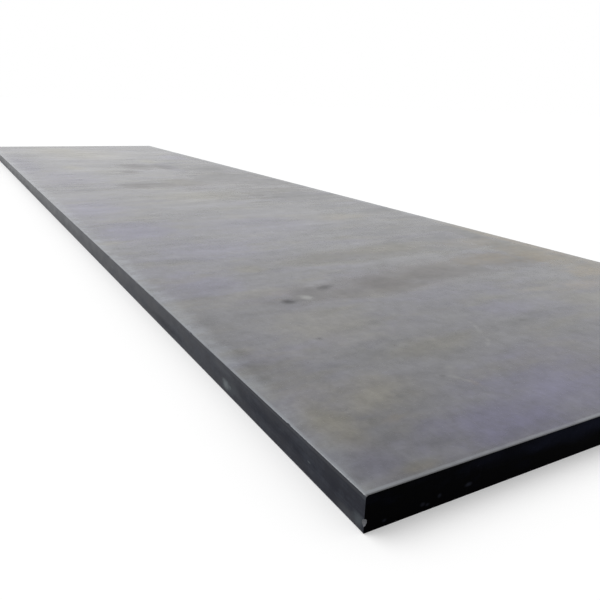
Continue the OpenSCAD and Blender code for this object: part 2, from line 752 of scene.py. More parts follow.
SCRATCHES = (
    Scratch((-2.756, 0.383), (-2.783, 0.369), 0.30, 9.0 * MM),
    Scratch((-2.776, 0.373), (-2.806, 0.358), 0.24, 7.0 * MM),
    Scratch((-2.538, 0.117), (-2.559, 0.121), 0.34, 8.0 * MM),
    Scratch((-2.559, 0.121), (-2.593, 0.138), 0.34, 8.0 * MM),
    Scratch((-2.593, 0.138), (-2.615, 0.151), 0.32, 8.0 * MM),
    Scratch((-2.645, 0.162), (-2.664, 0.177), 0.30, 7.0 * MM),
    Scratch((-2.664, 0.177), (-2.684, 0.203), 0.30, 7.0 * MM),
    Scratch((-2.891, 0.470), (-2.954, 0.477), 0.12),
    Scratch((-2.914, 0.386), (-2.950, 0.377), 0.14),
    Scratch((-2.838, 0.160), (-2.889, 0.181), 0.20),
    Scratch((-2.655, 0.480), (-2.690, 0.440), 0.16, 2.4 * MM),
)


@dataclass(frozen=True)
class MillScale(Finish):
    """Blue-grey oxide on the broad faces, with streaks across the plate, stains, and pale arrises that are
    part abrasion, part painted highlight.

    Attributes:
        noises, stains: Layers of even noise and of marks, by name.
        tones, sheens, reliefs: What each layer adds to brightness, roughness and height.
        rub_depth, rub_breaks, rub_fade: Steps of the rubbed strip inside each long arris: in from
            the arris, with the blots, and along the length.
        rub_base, rub_start: What those steps add to in the blots and along the length.
        rub_wander, rub_ripple: How far coarse and fine noise push the strip's inner edge.
        cool_ramp, warm_ramp: How much of the violet and khaki noise shows.
        side_wear_highlight, end_wear_highlight, wear_highlight_ramp: Steps of the pale arrises, part abrasion
        and part painted highlight, and of the noise that breaks them.
        scorch_ramp: Step of the soot along the cut ends.
    """

    shape: PlateShape
    title = "mill_scale"
    slate: Colour = (0.110, 0.110, 0.121)
    violet: Colour = (0.091, 0.087, 0.150)
    khaki: Colour = (0.128, 0.120, 0.092)
    brown: Colour = (0.086, 0.072, 0.070)
    tan: Colour = (0.222, 0.172, 0.098)
    smudge: Colour = (0.022, 0.021, 0.023)
    pale: Colour = (0.240, 0.242, 0.236)
    # Pale arris colour: abrasion, and a painted highlight on the rounded arrises and the strip just inside
    # them.
    worn_highlight: Colour = (0.218, 0.234, 0.256)
    rub: Colour = (0.147, 0.160, 0.178)
    roughness: float = 0.255
    specular: float = 0.5
    grit_height: float = 0.06 * MM
    edge: Speckle = Speckle((0.06, 0.08, 0.06), 5.0, 4.0, 0.65, STREAK_TURN)
    fine_edge: Speckle = Speckle((0.013, 0.020, 0.013), 5.5, 4.0, 0.65, STREAK_TURN)
    cool: Speckle = Speckle((0.16, 0.32, 1.0), 7.0, 4.0, 0.6, STREAK_TURN)
    warm: Speckle = Speckle((0.13, 0.34, 1.0), 8.0, 4.0, 0.6, STREAK_TURN)
    flecks: Speckle = Speckle((0.012, 0.020, 1.0), 9.0, 5.0, 0.7, STREAK_TURN)
    pits: Speckle = Speckle((0.0045, 0.0045, 1.0), 10.0, 2.0)
    pit_ramp: Ramp = (0.62, 0.70)
    cool_ramp: Ramp = (0.44, 0.64, 0.32)
    warm_ramp: Ramp = (0.48, 0.66, 0.55)
    cool_over_warm: float = 0.6
    tan_base: float = 0.45
    fleck_ramp: Ramp = (0.40, 0.70, 0.55)
    rub_depth: Ramp = (62.0 * MM, 6.0 * MM)
    rub_base: float = 0.7
    rub_breaks: Ramp = (-0.6, 0.8, 0.5)
    rub_start: float = 0.60
    rub_fade: Ramp = (-2.85, -2.40, 0.45)
    rub_wander: float = 0.06
    rub_ripple: float = 0.05
    rub_share: float = 0.5
    tarnish_share: float = 0.75
    side_wear_highlight: Ramp = (9.0 * MM, 4.0 * MM)
    end_wear_highlight: Ramp = (11.5 * MM, 8.0 * MM)
    wear_highlight_base: float = 0.25
    wear_highlight_ramp: Ramp = (0.30, 0.70, 0.55)
    scorch_ramp: Ramp = (6.0 * MM, 1.5 * MM)
    scorch_share: float = 0.85
    noises = {
        "clouds": Speckle((0.32, 0.90, 1.0), 1.0, 3.0, 0.6, STREAK_TURN),
        "streaks": Speckle((0.085, 0.34, 1.0), 2.0, 4.0, 0.65, STREAK_TURN),
        "mottle": Speckle((0.034, 0.024, 1.0), 3.0, 3.0, 0.65, STREAK_TURN),
        "blots": Speckle((0.050, 0.080, 1.0), 4.0, 4.0, 0.65, STREAK_TURN),
        "grain": Speckle((0.006, 0.007, 1.0), 6.0, 2.0),
    }
    stains = {"tarnish": TARNISH_BANDS, "bright": PALE_CLOUDS, "dull": DULL_BANDS, "dark": DARK_STAINS}
    tones = {
        "clouds": 0.11,
        "streaks": 0.13,
        "mottle": 0.15,
        "blots": 0.13,
        "grain": 0.05,
        "bright": 0.25,
        "rubbed": 0.32,
        "tarnish": -0.33,
        "dull": -0.26,
        "pits": -0.10,
    }
    sheens = {
        "clouds": -0.018,
        "streaks": -0.020,
        "blots": -0.012,
        "tarnish": 0.07,
        "dull": 0.03,
        "bright": -0.010,
        "soot": 0.45,
        "scorch": 0.2,
        "pits": 0.05,
    }
    reliefs = {"mottle": 0.5, "blots": 1.0}

    def surface(self, board: NodeBoard, coords: Wire) -> dict[str, Feed]:
        """Colour, roughness and fine relief of the scale.

        Args:
            board: The material's node board.
            coords: Object coordinates.

        Returns:
            The Principled shader's inputs.
        """
        edge, fine_edge = board.noise(coords, self.edge), board.noise(coords, self.fine_edge)
        kit = MarkKit(board, coords, self._spread(fine_edge), self._spread(edge), self.shape)
        layers = {name: board.even_noise(coords, noise) for name, noise in self.noises.items()}
        layers |= {name: kit.share(stain) for name, stain in self.stains.items()}
        layers["soot"] = layers["dark"] * layers["dark"]
        layers["pits"] = board.step(board.noise(coords, self.pits), *self.pit_ramp)
        x, y, _ = board.split(coords)
        from_end, from_side = self.shape.length / 2 - abs(x), self.shape.width / 2 - abs(y)
        layers["scorch"] = board.step(from_end, *self.scorch_ramp)
        inset = from_side + (edge - 0.5) * self.rub_wander + (fine_edge - 0.5) * self.rub_ripple
        rubbed = board.step(inset, *self.rub_depth)
        rubbed = rubbed * (self.rub_base + board.step(layers["blots"], *self.rub_breaks))
        layers["rubbed"] = rubbed * (self.rub_start + board.step(x, *self.rub_fade))
        # Pale arrises along the long sides and the cut ends: part abrasion, part painted highlight, broken up
        # by noise.
        wear_and_highlight = together([board.step(from_side, *self.side_wear_highlight), board.step(from_end, *self.end_wear_highlight)])
        wear_and_highlight = wear_and_highlight * (self.wear_highlight_base + board.step(edge, *self.wear_highlight_ramp))

        colour = board.mix_colour(layers["rubbed"] * self.rub_share, self._tints(kit), self.rub)
        colour = board.mix_colour(layers["tarnish"] * self.tarnish_share, colour, self.brown)
        colour = board.scale_colour(colour, weighted(1.0, layers, self.tones))
        colour = self._specks(kit, board.mix_colour(layers["dark"], colour, self.smudge))
        colour = board.mix_colour(wear_and_highlight, colour, self.worn_highlight)
        return {
            "Base Color": board.mix_colour(layers["scorch"] * self.scorch_share, colour, self.smudge),
            "Roughness": weighted(self.roughness, layers, self.sheens),
            "Normal": board.bump(weighted(0.0, layers, self.reliefs), self.grit_height),
            "Specular IOR Level": self.specular,
        }

    def _tints(self, kit: MarkKit) -> Wire:
        """The scale's own colour: slate, with soft violet and khaki patches.

        Args:
            kit: What marks are drawn with.

        Returns:
            The colour.
        """
        board = kit.board
        cool = board.step(board.noise(kit.coords, self.cool), *self.cool_ramp)
        warm = board.step(board.noise(kit.coords, self.warm), *self.warm_ramp)
        cool = together([cool, kit.share(VIOLET_PATCHES)])
        warm = together([warm, kit.share(KHAKI_PATCHES)])
        colour = board.mix_colour(cool, self.slate, self.violet)
        return board.mix_colour(warm * (1.0 - cool * self.cool_over_warm), colour, self.khaki)

    def _specks(self, kit: MarkKit, colour: Wire) -> Wire:
        """Tan oxide, pale specks and scratches over the scale.

        Args:
            kit: What marks are drawn with.
            colour: The colour under them.

        Returns:
            The colour with them.
        """
        board = kit.board
        broken = self.tan_base + board.step(board.noise(kit.coords, self.flecks), *self.fleck_ramp)
        colour = board.mix_colour(kit.share(TAN_PATCHES) * broken, colour, self.tan)
        scratches = tuple(scratch.mark() for scratch in SCRATCHES)
        return board.mix_colour(kit.share(PALE_SPECKS + scratches), colour, self.pale)


@dataclass(frozen=True)
class RolledSide(Finish):
    """Dark blue slate of the long sides, with faint lines along them, a few scuffs and painted light: a
    painted highlight under the top arris, a painted sheen that grows towards the far end, and painted light
    from below at the nicked corner.

    Attributes:
        noises: Layers of noise about 0, by name.
        lights, sheens, reliefs: What each layer adds to lightness, roughness and height.
    """

    shape: PlateShape
    title = "rolled_side"
    slate: Colour = (0.0022, 0.0036, 0.0110)
    lighter: Colour = (0.0150, 0.0185, 0.0290)
    # Colour of the painted light on the long sides: the painted highlight under the top arris, the painted
    # sheen towards the far end and the painted light from below at the nicked corner.
    painted_light: Colour = (0.070, 0.074, 0.081)
    scuff: Colour = (0.120, 0.142, 0.152)
    lightness: float = 0.45
    roughness: float = 0.40
    specular: float = 0.09
    line_height: float = 0.15 * MM
    # Painted highlight: a paler band from 9 mm to 2 mm below the top, under the rounded arris.
    arris_ramp: Ramp = (9.0 * MM, 2.0 * MM, 0.45)
    edge: Speckle = Speckle((0.02, 0.02, 0.012), 14.0)
    noises = {
        "lines": Speckle((0.5, 1.0, 0.004), 11.0),
        "patches": Speckle((0.07, 1.0, 0.035), 12.0, 3.0, 0.55),
        "grain": Speckle((0.006, 0.006, 0.006), 13.0, 2.0),
        "blots": Speckle((0.024, 1.0, 0.014), 15.0),
    }
    lights = {"lines": 2.0, "patches": 3.4, "blots": 2.4, "grain": 1.0, "shaded": -0.6}
    sheens = {"patches": 0.30, "shaded": 0.10}
    reliefs = {"lines": 0.6, "grain": 0.4}

    def surface(self, board: NodeBoard, coords: Wire) -> dict[str, Feed]:
        """Colour, roughness and fine relief of the side.

        Args:
            board: The material's node board.
            coords: Object coordinates.

        Returns:
            The Principled shader's inputs.
        """
        ragged = self._spread(board.noise(coords, self.edge))
        kit = MarkKit(board, coords, ragged, ragged, self.shape)
        layers = {name: board.noise(coords, noise) - 0.5 for name, noise in self.noises.items()}
        layers["shaded"] = kit.share(SIDE_SHADES)
        _, _, z = board.split(coords)
        # Painted highlight under the top arris, joined with the painted sheen and light marks of the sides.
        arris = board.step(self.shape.thickness - z, *self.arris_ramp)
        colour = board.mix_colour(weighted(self.lightness, layers, self.lights), self.slate, self.lighter)
        colour = board.mix_colour(together([kit.share(SIDE_PAINTED_LIGHT), arris]), colour, self.painted_light)
        return {
            "Base Color": board.mix_colour(kit.share(SIDE_SCUFFS), colour, self.scuff),
            "Roughness": weighted(self.roughness, layers, self.sheens),
            "Normal": board.bump(weighted(0.0, layers, self.reliefs), self.line_height),
            "Specular IOR Level": self.specular,
        }


@dataclass(frozen=True)
class TorchCut(Finish):
    """Dark oxide of the torch-cut ends, darkened to near black as painted shade, with faint blue temper near
    the top and small chips.
    """

    shape: PlateShape
    title = "torch_cut"
    # Near-black colours of the cut: its real dark oxide and blue temper, both darkened further as painted
    # shade on the end faces.
    soot: Colour = (0.0006, 0.0006, 0.0008)
    temper: Colour = (0.0046, 0.0056, 0.0124)
    speck: Colour = (0.022, 0.024, 0.034)
    roughness: float = 0.55
    roughness_range: float = 0.2
    specular: float = 0.006
    blots: Speckle = Speckle((1.0, 0.07, 0.03), 21.0)
    specks: Speckle = Speckle((1.0, 0.012, 0.008), 22.0, 2.0, 0.5)
    blot_ramp: Ramp = (0.52, 0.75, 0.25)
    speck_ramp: Ramp = (0.66, 0.78)

    def surface(self, board: NodeBoard, coords: Wire) -> dict[str, Feed]:
        """Colour and roughness of the cut.

        Args:
            board: The material's node board.
            coords: Object coordinates.

        Returns:
            The Principled shader's inputs.
        """
        blots = board.noise(coords, self.blots)
        ragged = self._spread(blots)
        kit = MarkKit(board, coords, ragged, ragged, self.shape)
        temper = kit.share(END_TEMPER) + board.step(blots, *self.blot_ramp)
        specks = board.step(board.noise(coords, self.specks), *self.speck_ramp) * temper
        colour = board.mix_colour(temper, self.soot, self.temper)
        pale = together([specks, kit.share(END_CHIPS)])
        return {
            "Base Color": board.mix_colour(pale, colour, self.speck),
            "Roughness": self.roughness + (blots - 0.5) * self.roughness_range,
            "Specular IOR Level": self.specular,
        }


@dataclass(frozen=True)
class BrokenSteel(Finish):
    """Pale torn steel inside the corner nick."""

    title = "broken_steel"
    bright: Colour = (0.190, 0.194, 0.210)
    dull: Colour = (0.050, 0.052, 0.058)
    roughness: float = 0.5
    roughness_range: float = 0.2
    specular: float = 0.4
    tears: Speckle = Speckle((0.003, 0.003, 0.003), 31.0)

    def surface(self, board: NodeBoard, coords: Wire) -> dict[str, Feed]:
        """Colour and roughness of the break.

        Args:
            board: The material's node board.
            coords: Object coordinates.

        Returns:
            The Principled shader's inputs.
        """
        torn = board.noise(coords, self.tears)
        return {
            "Base Color": board.mix_colour(torn, self.dull, self.bright),
            "Roughness": self.roughness + (torn - 0.5) * self.roughness_range,
            "Specular IOR Level": self.specular,
        }


@dataclass(frozen=True)
class LooseScale(Finish):
    """Small flakes of scale on the top face, each of its own tone."""

    title = "loose_scale"
    dark: Colour = (0.085, 0.085, 0.092)
    light: Colour = (0.165, 0.162, 0.158)
    tone_name: str = "flake_tone"
    roughness: float = 0.55
    specular: float = 0.4
    grain: Speckle = Speckle((0.002, 0.002, 0.002), 41.0, 2.0)
    grain_share: float = 0.3

    def surface(self, board: NodeBoard, coords: Wire) -> dict[str, Feed]:
        """Colour of the flakes, from the tone that each one carries.

        Args:
            board: The material's node board.
            coords: Object coordinates.

        Returns:
            The Principled shader's inputs.
        """
        tone = board.add("ShaderNodeAttribute", {"attribute_name": self.tone_name}, output="Fac")
        tone = tone + (board.noise(coords, self.grain) - 0.5) * self.grain_share
        return {
            "Base Color": board.mix_colour(tone, self.dark, self.light),
            "Roughness": self.roughness,
            "Specular IOR Level": self.specular,
        }


def put(name: str, data: bpy.types.ID) -> bpy.types.Object:
    """Make an object and link it to the scene.

    Args:
        name: The object's name.
        data: Its mesh, camera or lamp.

    Returns:
        The object.
    """
    made = bpy.data.objects.new(name, data)
    bpy.context.scene.collection.objects.link(made)
    return made


def settle(piece: bpy.types.Object, modifier: bpy.types.Modifier) -> None:
    """Make what a modifier gives the piece's own plain mesh, and remove the modifier.

    Args:
        piece: The object.
        modifier: Its only modifier.
    """
    piece.update_tag()
    graph = bpy.context.evaluated_depsgraph_get()
    made = bpy.data.meshes.new_from_object(piece.evaluated_get(graph))
    piece.modifiers.remove(modifier)
    old, piece.data = piece.data, made
    bpy.data.meshes.remove(old)
    made.name = piece.name


class GeometryRule:
    """A Geometry Nodes tree with named inputs, run once to give a plain mesh."""

    title = "rule"
    kinds = {
        float: "NodeSocketFloat",
        int: "NodeSocketInt",
        bpy.types.Material: "NodeSocketMaterial",
        bpy.types.Object: "NodeSocketObject",
    }

    def sockets(self) -> dict[str, object]:
        """Named inputs of the tree, and their values. Each rule gives its own."""
        raise NotImplementedError

    def wire(self, board: NodeBoard, inputs: Mapping[str, Wire]) -> Wire:
        """Fill the tree and return its geometry. Each rule gives its own."""
        raise NotImplementedError

    def run(self, piece: bpy.types.Object) -> None:
        """Run the tree on a piece and leave the result as the piece's plain mesh.

        Args:
            piece: The object whose mesh goes in and comes out.
        """
        tree = bpy.data.node_groups.new(self.title, "GeometryNodeTree")
        for way in ("OUTPUT", "INPUT"):
            tree.interface.new_socket("Geometry", in_out=way, socket_type="NodeSocketGeometry")
        values, named = self.sockets(), {}
        for name, value in values.items():
            kind = self.kinds[type(value)]
            named[name] = tree.interface.new_socket(name, in_out="INPUT", socket_type=kind)
        board = NodeBoard(tree)
        source = board.place("NodeGroupInput")
        wires = {name: Wire(board, source.outputs[name]) for name in ["Geometry", *named]}
        board.place("NodeGroupOutput", inputs={"Geometry": self.wire(board, wires)})
        modifier = piece.modifiers.new(self.title, "NODES")
        modifier.node_group = tree
        for name, value in values.items():
            modifier[named[name].identifier] = value
        settle(piece, modifier)
        bpy.data.node_groups.remove(tree)


@dataclass
class RollingRelief(GeometryRule):
    """Relief of the whole plate: waves from rolling, knocked arrises and drag lines on the cut ends.

    Attributes:
        face_wave, edge_wave, arris_knock: Depth of the waves on the broad faces and on the sides,
            and of the knocks.
        drag_pitch, drag_depth: Spacing and depth of the drag lines.
        drag_lag, drag_sway: How many lines they trail at the underside, and how far they wander.
        groove_share, gouge_share: How deep even grooves and odd gouges are, as shares of the depth.
        drag_margin: Step in from the end's outline to where the lines are full.
        arris_ramp: Step of the knocks by how squarely a point faces one axis.
        knock_ramp, gouge_ramp: Steps of the noise that makes knocks and gouges.
        level_limit, end_limit, flat_limit: How squarely a broad face points up or down, an end
            points along the length, and the flat of an end does so.
        waves, wander, knocks, sway, gouges: Noise behind each of these.
    """

    shape: PlateShape
    mill_scale: bpy.types.Material
    rolled_side: bpy.types.Material
    torch_cut: bpy.types.Material
    face_wave: float = 0.45 * MM
    edge_wave: float = 0.7 * MM
    arris_knock: float = 1.3 * MM
    drag_pitch: float = 4.0 * MM
    drag_depth: float = 0.35 * MM
    seed: float = 17.0
    drag_lag: float = 2.2
    drag_sway: float = 3.0
    groove_share: float = 0.6
    gouge_share: float = 0.9
    drag_margin: Ramp = (1.0 * MM, 4.0 * MM)
    arris_ramp: Ramp = (0.99, 0.75)
    knock_ramp: Ramp = (0.58, 0.85)
    gouge_ramp: Ramp = (0.55, 0.80)
    level_limit: float = 0.70
    end_limit: float = 0.30
    flat_limit: float = 0.98
    waves: Speckle = Speckle((1.1, 0.8, 1.0), 0.0, 2.0, 0.5)
    wander: Speckle = Speckle((0.7, 1.0, 0.3), 1.0, 3.0, 0.5)
    knocks: Speckle = Speckle((0.035, 0.035, 0.02), 2.0, 2.0, 0.5)
    sway: Speckle = Speckle((1.0, 0.03, 0.08), 3.0, 2.0, 0.5)
    gouges: Speckle = Speckle((1.0, 0.012, 0.25), 4.0, 2.0, 0.5)
    title = "rolling_relief"

    def sockets(self) -> dict[str, object]:
        """Sizes, seed and finishes that go into the tree.

        Returns:
            Their values by the name of the input.
        """
        return {
            "Width": self.shape.width,
            "Thickness": self.shape.thickness,
            "Face Wave": self.face_wave,
            "Edge Wave": self.edge_wave,
            "Arris Knock": self.arris_knock,
            "Drag Pitch": self.drag_pitch,
            "Drag Depth": self.drag_depth,
            "Seed": self.seed,
            "Mill Scale": self.mill_scale,
            "Rolled Side": self.rolled_side,
            "Torch Cut": self.torch_cut,
        }

    def wire(self, board: NodeBoard, inputs: Mapping[str, Wire]) -> Wire:
        """Push each point inwards by the relief, then give each face its finish.

        Args:
            board: The tree's node board.
            inputs: The tree's named inputs.

        Returns:
            The plate's geometry.
        """
        place = board.add("GeometryNodeInputPosition")
        nx, ny, nz = board.split(board.add("GeometryNodeInputNormal"))
        along, up = abs(nx), abs(nz)
        noises = (self.waves, self.wander, self.knocks)
        waves, wander, knocks = (board.noise(place, noise, inputs["Seed"]) for noise in noises)

        arris = board.step(together([abs(ny), up, along]), *self.arris_ramp)
        knock = inputs["Arris Knock"] * arris * board.step(knocks, *self.knock_ramp)
        drag = inputs["Drag Depth"] * self._drag_lines(board, inputs, place, along)
        inward = board.join(
            -nx * (drag + knock),
            -ny * (inputs["Edge Wave"] * wander + knock),
            -nz * (inputs["Face Wave"] * waves + knock),
        )
        moved = {"Geometry": inputs["Geometry"], "Offset": inward}
        geometry = board.add("GeometryNodeSetPosition", inputs=moved)
        geometry = board.add("GeometryNodeRealizeInstances", inputs={"Geometry": geometry})
        side, end = up < self.level_limit, along > self.end_limit
        for name, chosen in {"Mill Scale": True, "Rolled Side": side, "Torch Cut": end}.items():
            dressed = {"Geometry": geometry, "Selection": chosen, "Material": inputs[name]}
            geometry = board.add("GeometryNodeSetMaterial", inputs=dressed)
        return geometry

    def _drag_lines(self, board: NodeBoard, inputs: Mapping[str, Wire], place: Wire, along: Wire) -> Wire:
        """The grooves that a torch leaves: they lag more and more towards the underside.

        Args:
            board: The tree's node board.
            inputs: The tree's named inputs.
            place: Position of each point.
            along: How far each point faces along the length.

        Returns:
            Depth of the grooves, from 0 to 1.
        """
        _, y, z = board.split(place)
        half_width, thickness = inputs["Width"] * 0.5, inputs["Thickness"]
        sunk = ((thickness - z) / thickness).maths("MAXIMUM", 0.0)
        sway = board.noise(place, self.sway, inputs["Seed"])
        phase = y / inputs["Drag Pitch"] + sunk * sunk * self.drag_lag + sway * self.drag_sway
        groove = (phase * (2.0 * math.pi)).maths("SINE") * 0.5 + 0.5
        gouge = board.step(board.noise(place, self.gouges, inputs["Seed"]), *self.gouge_ramp)
        margin = (half_width - abs(y)).maths("MINIMUM", z).maths("MINIMUM", thickness - z)
        flat = board.step(margin, *self.drag_margin) * (along > self.flat_limit)
        return (groove * self.groove_share + gouge * self.gouge_share) * flat


@dataclass
class FlakeScatter(GeometryRule):
    """Loose flakes of scale scattered over the top face and seated on it.

    Attributes:
        density: Flakes on each square metre.
        smallest, largest: Limits of a flake's half length.
        thickness: Half a flake's thickness.
        slimmest: Least width of a flake, as a share of its length.
        up_limit: How squarely a face points up where flakes lie.
        jags: Noise that breaks a flake's outline along X and along Y.
        seed_step: What each random draw adds to the seed.
        random_low, random_high, random_value: Numbers of the Random Value node's sockets for floats.
    """

    plate: bpy.types.Object
    finish: bpy.types.Material
    tone_name: str
    density: float = 30.0
    smallest: float = 0.8 * MM
    largest: float = 3.2 * MM
    thickness: float = 0.25 * MM
    seed: int = 5
    slimmest: float = 0.5
    up_limit: float = 0.9995
    seed_step: int = 100
    jags: tuple[Speckle, ...] = (
        Speckle((0.0015, 0.0015, 0.0015), 51.0, 1.0, 0.5),
        Speckle((0.0015, 0.0015, 0.0015), 52.0, 1.0, 0.5),
    )
    title = "flake_scatter"
    random_low, random_high, random_value = 2, 3, 1

    def sockets(self) -> dict[str, object]:
        """Sizes, seed, plate and finish that go into the tree.

        Returns:
            Their values by the name of the input.
        """
        return {
            "Plate": self.plate,
            "Density": self.density,
            "Smallest": self.smallest,
            "Largest": self.largest,
            "Thickness": self.thickness,
            "Seed": self.seed,
            "Finish": self.finish,
        }

    def wire(self, board: NodeBoard, inputs: Mapping[str, Wire]) -> Wire:
        """Scatter points over the top, put a flake on each and break its outline.

        Args:
            board: The tree's node board.
            inputs: The tree's named inputs.

        Returns:
            The flakes' geometry.
        """
        plate = board.add("GeometryNodeObjectInfo", inputs={"Object": inputs["Plate"]}, output="Geometry")
        _, _, nz = board.split(board.add("GeometryNodeInputNormal"))
        top = {"Mesh": plate, "Selection": nz > self.up_limit}
        spread = {**top, "Density": inputs["Density"], "Seed": inputs["Seed"]}
        points = board.add("GeometryNodeDistributePointsOnFaces", {"distribute_method": "RANDOM"}, spread)
        pick = self._random(board, inputs, 0.0, 1.0, 1)
        size = inputs["Smallest"] + (inputs["Largest"] - inputs["Smallest"]) * pick * pick * pick
        spin = self._random(board, inputs, 0.0, 2.0 * math.pi, 2)
        stretch = self._random(board, inputs, self.slimmest, 1.0, 3)
        laid = {
            "Points": points,
            "Instance": board.add("GeometryNodeMeshIcoSphere", inputs={"Radius": 1.0, "Subdivisions": 1}),
            "Rotation": board.join(0.0, 0.0, spin),
            "Scale": board.join(size, size * stretch, inputs["Thickness"]),
        }
        flakes = board.add("GeometryNodeInstanceOnPoints", inputs=laid)
        tone = self._random(board, inputs, 0.0, 1.0, 4)
        stored = {"Geometry": flakes, "Name": self.tone_name, "Value": tone}
        kept = {"data_type": "FLOAT", "domain": "INSTANCE"}
        flakes = board.add("GeometryNodeStoreNamedAttribute", kept, stored)
        flakes = board.add("GeometryNodeRealizeInstances", inputs={"Geometry": flakes})
        place = board.add("GeometryNodeInputPosition")
        push, push_y = ((board.noise(place, jag) - 0.5) * inputs["Smallest"] for jag in self.jags)
        moved = {"Geometry": flakes, "Offset": board.join(push, push_y, 0.0)}
        flakes = board.add("GeometryNodeSetPosition", inputs=moved)
        return board.add("GeometryNodeSetMaterial", inputs={"Geometry": flakes, "Material": inputs["Finish"]})

    def _random(
        self, board: NodeBoard, inputs: Mapping[str, Wire], low: float, high: float, draw: int
    ) -> Wire:
        """Draw a random value for each flake.

        Args:
            board: The tree's node board.
            inputs: The tree's named inputs.
            low: The least value.
            high: The greatest value.
            draw: Number of the draw. Each has its own.

        Returns:
            The value.
        """
        limits = {self.random_low: low, self.random_high: high}
        values = {**limits, "Seed": inputs["Seed"] + draw * self.seed_step}
        return board.add("FunctionNodeRandomValue", {"data_type": "FLOAT"}, values, self.random_value)


@dataclass
class PlateBody:
    """The rolled plate itself, as one closed mesh.

    Attributes:
        shape: The plate's sizes.
        cell_near, cell_far: Spacing of mesh rows along the length, at the nicked end and at the other.
        cell_across: Spacing of mesh columns across the top.
        cell_under: Spacing of mesh columns across the underside.
        widen_start, widen_rate: Where along the length the spacing starts to widen, and how fast.
        last_gap: Least room for another row at the far end, in rows.
        guard: Width of the narrow rows that keep the arrises crisp.
        side_rows, cut_rows: How many rows the long sides and the cut ends have.
        top_arc_steps, bottom_arc_steps, end_arc_steps: How many steps go round each arris.
        cut_column: Spacing of mesh columns on the cut ends.
        cut_inset: How far inside its arrises the grid of a cut end starts.
        sharp_angle: Angle in degrees past which an edge stays sharp.
        ball_detail: How finely the ball that bites the nick out is divided.
        dent_waves, dent_shift, dent_depth: Waves in that ball.
    """

    shape: PlateShape
    name: str = "rolled_plate"
    cell_near: float = 9.0 * MM
    cell_far: float = 26.0 * MM
    cell_across: float = 12.0 * MM
    cell_under: float = 40.0 * MM
    widen_start: float = 0.4
    widen_rate: float = 2.5
    last_gap: float = 1.5
    guard: float = 2.0 * MM
    side_rows: int = 9
    top_arc_steps: int = 6
    bottom_arc_steps: int = 4
    end_arc_steps: int = 6
    cut_column: float = 1.2 * MM
    cut_rows: int = 7
    cut_inset: float = 1.5 * MM
    sharp_angle: float = 40.0
    ball_detail: int = 3
    dent_waves: Point3 = (1900.0, 1700.0, 1500.0)
    dent_shift: Point3 = (1.0, 0.0, 0.0)
    dent_depth: float = 0.20

    def build(self) -> bpy.types.Object:
        """Make the plate's mesh, with plain smooth faces.

        Returns:
            The plate's object, linked to the scene.
        """
        grid, stations = self._strip()
        shell = bmesh.new()
        rings = [[shell.verts.new(point) for point in ring] for ring in grid]
        count = len(rings[0])
        for first, second in zip(rings, rings[1:]):
            for index in range(count):
                other = (index + 1) % count
                shell.faces.new((first[index], first[other], second[other], second[index]))
        for end in (0, -1):
            self._close_end(shell, rings[end], stations[end])
        bmesh.ops.recalc_face_normals(shell, faces=shell.faces[:])
        mesh = bpy.data.meshes.new(self.name)
        shell.to_mesh(mesh)
        shell.free()
        return put(self.name, mesh)

    def _strip(self) -> tuple[np.ndarray, np.ndarray]:
        """Points of the rolled strip: a ring of section points at each station along the length.

        Returns:
            The points, as rings by section points by X, Y, Z, and the stations' X.
        """
        section = np.array(self._section())
        stations = np.array(self._stations())
        depth = self.shape.length / 2 - np.abs(stations)
        high = self.shape.thickness - self._rounding(depth, self.shape.end_top_radius)
        low = self._rounding(depth, self.shape.end_bottom_radius)
        grid = np.empty((len(stations), len(section), 3))
        grid[:, :, 0] = stations[:, None]
        grid[:, :, 1] = section[None, :, 0]
        grid[:, :, 2] = np.clip(section[None, :, 1], low[:, None], high[:, None])
        return grid, stations

    @staticmethod
    def _rounding(depth: np.ndarray, radius: float) -> np.ndarray:
        """How far a rounded edge has fallen away at a depth from the end."""
        short = np.maximum(radius - depth, 0.0)
        return radius - np.sqrt(np.maximum(radius**2 - short**2, 0.0))

    def _section(self) -> list[Point2]:
        """Points of the section across the width, once round, as (Y, Z).

        Returns:
            The points, from the left end of the top to the right and back along the underside.
        """
        half, thick = self.shape.width / 2, self.shape.thickness
        top, bottom = self.shape.side_top_radius, self.shape.side_bottom_radius
        across = self._spaced(-(half - top), half - top, self.cell_across)
        under = self._spaced(-(half - bottom), half - bottom, self.cell_under)
        rise = list(np.linspace(bottom + self.guard, thick - top - self.guard, self.side_rows))
        points = [(-y, thick) for y in across]
        points += self._arc(-(half - top), thick - top, top, 90.0, self.top_arc_steps)
        points += [(-half, z) for z in reversed(rise)]
        points += self._arc(-(half - bottom), bottom, bottom, 180.0, self.bottom_arc_steps)
        points += [(y, 0.0) for y in under]
        points += self._arc(half - bottom, bottom, bottom, 270.0, self.bottom_arc_steps)
        points += [(half, z) for z in rise]
        points += self._arc(half - top, thick - top, top, 0.0, self.top_arc_steps)
        return points

    def _spaced(self, start: float, end: float, cell: float) -> list[float]:
        """Even places between two arrises, each a guard row in from the arris."""
        inner = (start + self.guard, end - self.guard)
        return list(np.linspace(*inner, max(2, round((inner[1] - inner[0]) / cell) + 1)))

    @staticmethod
    def _arc(y: float, z: float, radius: float, start: float, steps: int) -> list[Point2]:
        """Points of an arris, a quarter turn from an angle in degrees, both ends included."""
        angles = np.radians(np.linspace(start, start + 90.0, steps + 1))
        return [(y + radius * math.cos(a), z + radius * math.sin(a)) for a in angles]

